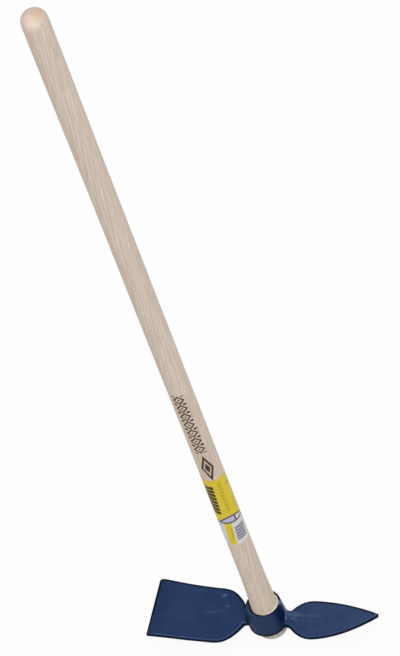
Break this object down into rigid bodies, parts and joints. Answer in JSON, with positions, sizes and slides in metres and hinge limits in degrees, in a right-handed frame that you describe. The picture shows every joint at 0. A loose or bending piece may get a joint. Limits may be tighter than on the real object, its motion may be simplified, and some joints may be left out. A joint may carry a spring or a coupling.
{
  "type": "double hoe",
  "caption": "Forged hoe head with a square blade and a pointed blade, jammed by its tapered eye on the flared end of a long turned ash handle.",
  "frame": {"origin": "centre of the sawn lower face of the handle, which stands out below the eye", "axes": "+Z along the handle towards the domed grip end, -X towards the square blade, +X towards the pointed blade"},
  "size_m": [0.2617, 0.078, 1.001],
  "materials": {
    "blue_paint": "dark blue satin paint over a forged surface, thin and darker along the edges",
    "ash": "pale grey-beige turned ash, fine sanded and unvarnished, with a small burnt ornament",
    "printed_film": "yellow printed self-adhesive film with a white panel and plain bars, slightly glossy"
  },
  "bodies": {
    "root": {"head": "blue_paint", "handle": "ash", "label": "printed_film"}
  },
  "joints": []
}
